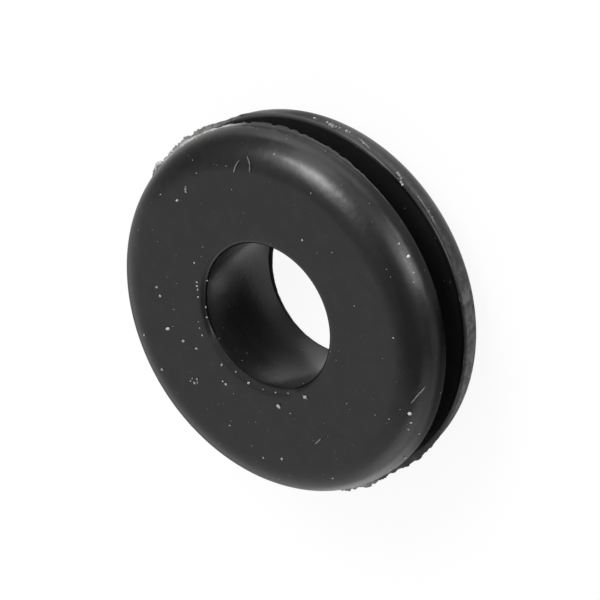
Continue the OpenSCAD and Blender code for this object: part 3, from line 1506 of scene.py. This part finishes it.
@dataclass(frozen=True)
class ViewPoint:
    """The camera's angle on the grommet: a long lens that looks down on the flat-lying ring."""

    elevation: float = 46.02
    roll: float = -120.0
    distance: float = 600.0
    sensor: float = 36.0
    frame_px: float = 600.0
    px_per_mm: float = 193.25 / 7.5
    middle_height: float = 2.25
    right_px: float = 0.67
    down_px: float = 0.42
    clip: Span = (0.01, 10.0)

    def axes(self) -> tuple[Vector, Vector, Vector]:
        """Turns the frame by its elevation and roll.

        Returns:
            Its right, its up and the way it looks, each of length 1.
        """
        tilt, turn = math.radians(self.elevation), math.radians(self.roll)
        ahead = Vector((0.0, math.cos(tilt), -math.sin(tilt)))
        level = Vector((1.0, 0.0, 0.0))
        right = level * math.cos(turn) + level.cross(ahead) * math.sin(turn)
        return right, right.cross(ahead), ahead

    def eye(self) -> Vector:
        """Steps back from the middle of the frame.

        Returns:
            Where the camera stands, in metres.
        """
        right, up, ahead = self.axes()
        off_middle = (up * self.down_px - right * self.right_px) / self.px_per_mm
        return (Vector((0.0, 0.0, self.middle_height)) + off_middle - ahead * self.distance) * MM

    def ray(self, x: float, y: float) -> tuple[Vector, Vector]:
        """Follows a pixel's line of sight.

        Args:
            x: the pixel's place from the frame's left edge.
            y: the pixel's place from its upper edge.

        Returns:
            Where the line starts, in metres, and its direction.
        """
        right, up, ahead = self.axes()
        middle = self.frame_px / 2
        across, down = (x + 0.5 - middle) / self.px_per_mm, (y + 0.5 - middle) / self.px_per_mm
        return self.eye(), (ahead * self.distance + right * across - up * down).normalized()

    def place(self) -> Object:
        """Stands the camera at the eye.

        Returns:
            The camera.
        """
        right, up, ahead = self.axes()
        data = bpy.data.cameras.new("view")
        data.sensor_width = self.sensor
        data.lens = self.px_per_mm * self.distance / self.frame_px * self.sensor
        data.clip_start, data.clip_end = self.clip
        camera = linked("view", data)
        turned = Matrix((right, up, -ahead)).transposed().to_4x4()
        camera.matrix_world = Matrix.Translation(self.eye()) @ turned
        bpy.context.scene.camera = camera
        return camera


@dataclass(frozen=True)
class Glow:
    """A soft-edged light or pale wall round a direction, in degrees; it may fade with height."""

    name: str
    azimuth: float
    elevation: float
    full_within: float
    gone_past: float
    glow: float
    fades_from: float = 2.0
    fades_to: float = 3.0

    def shine(self, kit: TreeKit, aim: Socket, height: Feed) -> Socket:
        """Finds its light in a direction.

        Args:
            aim: the direction.
            height: the direction's own height.

        Returns:
            The brightness.
        """
        middle = towards(self.azimuth, self.elevation)
        light = kit.lobe(aim, middle, (self.full_within, self.gone_past), self.glow)
        return kit.product(light, kit.ease(height, self.fades_from, self.fades_to, 1.0, 0.0))


@dataclass(frozen=True)
class Pool:
    """A soft pool of light on the floor that only reflections show, in millimetres."""

    name: str
    x: float
    y: float
    full_within: float
    gone_past: float
    glow: float

    def shine(self, kit: TreeKit, place: Socket) -> Socket:
        """Returns its light at a place on the floor, in millimetres."""
        away = kit.measure("DISTANCE", place, (self.x, self.y, 0.0))
        return kit.ease(away, self.full_within, self.gone_past, self.glow, 0.0)


@dataclass(frozen=True)
class Studio:
    """The pale floor, the soft lights round the grommet and the view."""

    view: ViewPoint = ViewPoint()
    floor_span: float = 6000.0
    floor_grey: Colour = (0.40, 0.40, 0.40, 1.0)
    floor_white: Colour = (0.95, 0.95, 0.95, 1.0)
    white: Colour = (1.0, 1.0, 1.0, 1.0)
    floor_glow: float = 0.56
    white_share: float = 0.92
    room: float = 0.29
    far_floor: Span = (22.0, 60.0)
    glows: tuple[Glow, ...] = (
        Glow("key_high", -18.0, 52.0, 1.0, 11.0, 3.6),
        Glow("key_left", -31.0, 46.0, 1.0, 12.0, 4.8),
        Glow("key_middle", -22.0, 42.0, 2.0, 11.0, 3.5),
        Glow("key_right", -12.0, 37.0, 1.0, 10.0, 4.5),
        Glow("key_low", -28.0, 34.0, 1.0, 13.0, 3.4),
        Glow("key_top", -6.0, 64.0, 1.0, 13.0, 0.5),
        Glow("key_crown", -14.0, 62.0, 1.0, 16.0, 0.6),
        Glow("key_side", -44.0, 38.0, 1.0, 14.0, 0.75),
        Glow("key_foot", -12.0, 12.0, 2.0, 15.0, 0.5),
        Glow("key_spill", -20.0, 43.0, 12.0, 31.0, 1.7),
        Glow("key_wall", -22.0, 40.0, 15.0, 60.0, 0.36),
        Glow("low_strip", -30.0, 8.0, 4.0, 21.0, 1.55),
        Glow("low_corner", -50.0, 10.0, 6.0, 26.0, 0.25),
        Glow("middle_wall", -62.0, 12.0, 8.0, 30.0, 0.3),
        Glow("right_low", -103.0, 2.0, 1.0, 13.0, 3.9),
        Glow("right_high", -100.0, 16.0, 3.0, 17.0, 1.5),
        Glow("right_side", -88.0, 4.0, 1.0, 13.0, 0.8),
        Glow("right_spill", -96.0, 10.0, 8.0, 34.0, 0.6),
        Glow("right_wall", -96.0, 10.0, 20.0, 55.0, 0.2),
        Glow("far_wall", 120.0, 8.0, 35.0, 70.0, 0.47),
        Glow("west_wall", 172.0, 8.0, 12.0, 45.0, 0.62, 0.26, 0.5),
        Glow("east_wall", 60.0, 58.0, 6.0, 34.0, 0.15),
        Glow("ceiling", 10.0, 80.0, 4.0, 36.0, 0.17),
    )
    pools: tuple[Pool, ...] = (
        Pool("west_patch", -15.0, 7.0, 2.0, 8.0, 0.60),
        Pool("west_wash", -26.0, 2.0, 8.0, 20.0, 0.25),
        Pool("north_west_wash", -22.0, 16.0, 4.0, 16.0, 0.25),
        Pool("north_shade", 0.0, 16.0, 4.0, 13.0, -0.28),
        Pool("east_shade", 26.0, 12.0, 6.0, 18.0, -0.22),
        Pool("rim_shade", 7.8, -4.5, 0.9, 2.8, -0.30),
        Pool("key_wash", 20.0, -15.0, 9.0, 17.0, 1.25),
        Pool("right_wash", -3.0, -27.0, 6.0, 12.5, 2.8),
        Pool("near_shade", -7.0, -4.0, 3.5, 7.5, -0.40),
        Pool("front_shade", -4.0, -10.0, 2.0, 6.0, -0.18),
        Pool("bore_floor", 0.0, 0.0, 2.8, 3.6, -0.22),
        Pool("bore_shade", 0.35, 0.3, 0.8, 2.3, -0.37),
        Pool("bore_left", -1.35, 1.95, 0.3, 0.85, 0.46),
        Pool("bore_right", 1.05, 2.4, 0.5, 1.3, 0.28),
    )

    def floor(self) -> None:
        """Lays the floor, as part of the stage."""
        half = self.floor_span / 2 * MM
        corners = [(-half, -half, 0), (half, -half, 0), (half, half, 0), (-half, half, 0)]
        mesh = bpy.data.meshes.new("floor")
        mesh.from_pydata(corners, [], [(0, 1, 2, 3)])
        mesh.materials.append(self.floor_paint())
        floor = linked("floor", mesh)

    def floor_paint(self) -> Material:
        """Builds the floor's paint: grey, pale in pools to reflections, white to what looks straight at it.

        Returns:
            The material.
        """
        material = bpy.data.materials.new("pale_floor")
        kit = cleared(material)
        place = millimetres(kit)
        mirrored: Feed = self.floor_glow
        for pool in self.pools:
            mirrored = kit.math("ADD", pool.shine(kit, place), mirrored)
        away, _, outward = kit.polar(place)
        mirrored = kit.blend(kit.ease(away, *self.far_floor), mirrored, self.room_glow(kit, outward, 0.0))
        seen, glossy = self.seen(kit)
        matt = kit.add("ShaderNodeBsdfDiffuse", kit.tint(seen, self.floor_grey, self.floor_white)).outputs[0]
        pale = kit.add("ShaderNodeEmission", self.white, kit.math("MAXIMUM", mirrored, 0.0)).outputs[0]
        lit = kit.add("ShaderNodeMixShader", glossy, matt, pale).outputs[0]
        plain = kit.add("ShaderNodeEmission", self.white, 1.0).outputs[0]
        kit.shade(kit.add("ShaderNodeMixShader", kit.product(seen, self.white_share), lit, plain).outputs[0])
        return material

    @staticmethod
    def seen(kit: TreeKit) -> tuple[Socket, Socket]:
        """Tells kinds of rays apart.


        Returns:
            Whether a ray looks straight from the camera, and whether it is a reflection's.
        """
        path = kit.add("ShaderNodeLightPath").outputs
        return kit.math("MAXIMUM", path["Is Camera Ray"], path["Is Transmission Ray"]), path["Is Glossy Ray"]

    def room_glow(self, kit: TreeKit, aim: Socket, height: Feed) -> Feed:
        """Adds up the room's light in a direction.

        Args:
            aim: the direction.
            height: the direction's own height.

        Returns:
            The brightness of the even room and its glows.
        """
        glow: Feed = self.room
        for source in self.glows:
            glow = kit.math("ADD", source.shine(kit, aim, height), glow)
        return glow

    def world(self) -> None:
        """Makes the world: an even room with soft lights and pale walls, and white to the camera."""
        world = bpy.data.worlds.new("studio")
        bpy.context.scene.world = world
        kit = cleared(world)
        aim = kit.add("ShaderNodeTexCoord").outputs["Generated"]
        height = kit.add("ShaderNodeSeparateXYZ", aim).outputs[2]
        strength = kit.blend(self.seen(kit)[0], self.room_glow(kit, aim, height), 1.0)
        kit.shade(kit.add("ShaderNodeBackground", self.white, strength).outputs[0], "ShaderNodeOutputWorld")

    def build(self) -> None:
        """Makes the floor, the world and the camera."""
        self.floor()
        self.world()
        bpy.context.scene.view_settings.view_transform = "Standard"
        self.view.place()


def main() -> None:
    """Builds the stage, the grommet and what lies on it, piece by piece."""
    logging.basicConfig(level=logging.INFO, format="%(name)s: %(message)s")
    studio = Studio()
    studio.build()
    body = GrommetBody().build(RubberFinish().make())
    flash, fins, strands = FlashFinish().make(), FinRecipe(), StrandRecipe()
    pieces = [body, *(fin.build(fins, flash) for fin in (RIM_FIN, BORE_FIN, EDGE_FIN))]
    threads = strands.build("flash_threads", FLASH_THREADS, flash)
    curls = strands.build("flash_curls", FLASH_CURLS, PALE_FLASH.make())
    sight = Sight(studio.view, body)
    pieces += [threads, curls, *Dust(sight).build(body, DUST.make(), CHALK.make(), FLUFF.make())]
    pieces.append(strands.build("lint_fibres", [hair.strand(sight) for hair in HAIRS], FIBRE.make()))
    for piece in pieces:
        log.info("%s has %d faces", piece.name, len(piece.data.polygons))


if __name__ == "__main__":
    main()
